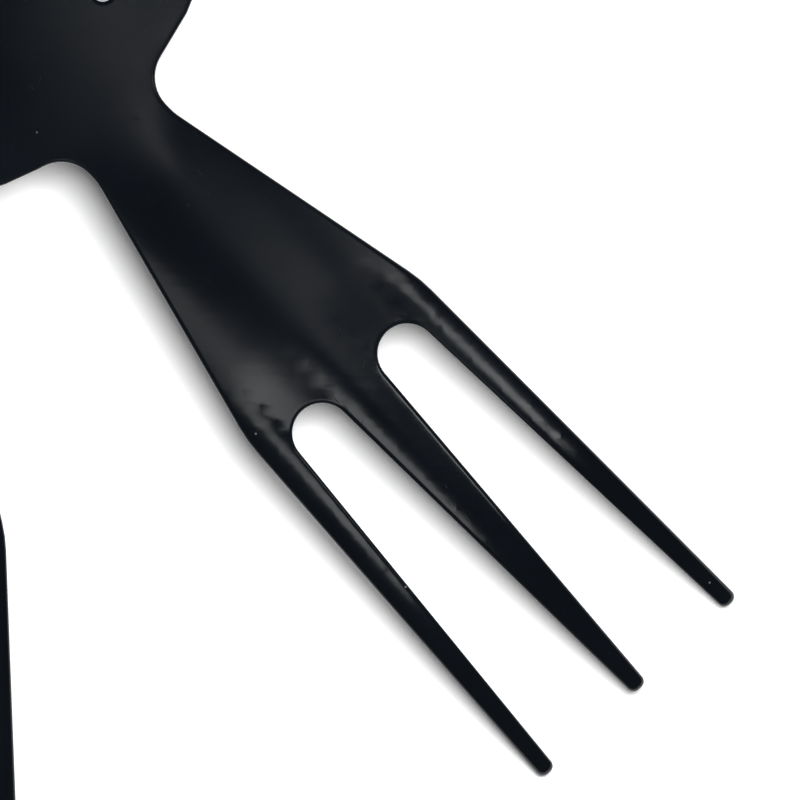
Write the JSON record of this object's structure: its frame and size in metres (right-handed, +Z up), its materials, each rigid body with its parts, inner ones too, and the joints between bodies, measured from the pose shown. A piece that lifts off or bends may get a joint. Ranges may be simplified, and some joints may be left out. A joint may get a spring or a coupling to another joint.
{
  "type": "leaf grabber hands",
  "caption": "Pair of moulded claws worn on the hands for gathering leaves, each a domed palm disc with forked fingers, a heel wall, a padded grip and a hand strap.",
  "frame": {"origin": "middle of the pair's box, on the ground", "axes": "+Y towards the fingers' tips, +X from the left hand to the right hand, +Z up, away from the leaves"},
  "size_m": [0.7052, 0.2871, 0.128],
  "materials": {
    "claw_plastic": "moulded black plastic, glossy, fine scratches",
    "bridge_plastic": "moulded black plastic, satin",
    "sleeve_rubber": "soft dark grey sleeve",
    "screw_steel": "zinc-plated pan heads",
    "webbing": "woven black webbing",
    "pad_cloth": "knitted cloth over foam",
    "keeper_plastic": "moulded black plastic"
  },
  "bodies": {
    "left_hand": {"left_claw": "claw_plastic", "left_grip_bridge": "bridge_plastic", "left_grip_sleeve": "sleeve_rubber", "left_grip_screws": "screw_steel", "left_hand_strap": "webbing", "left_strap_pad": "pad_cloth"},
    "right_hand": {"right_claw": "claw_plastic", "right_grip_bridge": "bridge_plastic", "right_grip_sleeve": "sleeve_rubber", "right_grip_screws": "screw_steel", "right_hand_strap": "webbing", "right_strap_pad": "pad_cloth"},
    "left_keeper": {"left_strap_keeper": "keeper_plastic"},
    "right_keeper": {"right_strap_keeper": "keeper_plastic"}
  },
  "joints": [
    {"name": "right_hand_lift", "type": "slide", "parent": "left_hand", "child": "right_hand", "axis": [0, 0, 1], "range_m": [0, 0.12]},
    {"name": "left_keeper_slide", "type": "hinge", "parent": "left_hand", "child": "left_keeper", "pos_m": [-0.18267, -0.0818, 0.08125], "axis": [0, 1, 0], "range_deg": [-8, 13]},
    {"name": "right_keeper_slide", "type": "hinge", "parent": "right_hand", "child": "right_keeper", "pos_m": [0.18267, -0.0818, 0.08125], "axis": [0, -1, 0], "range_deg": [-8, 13]}
  ]
}
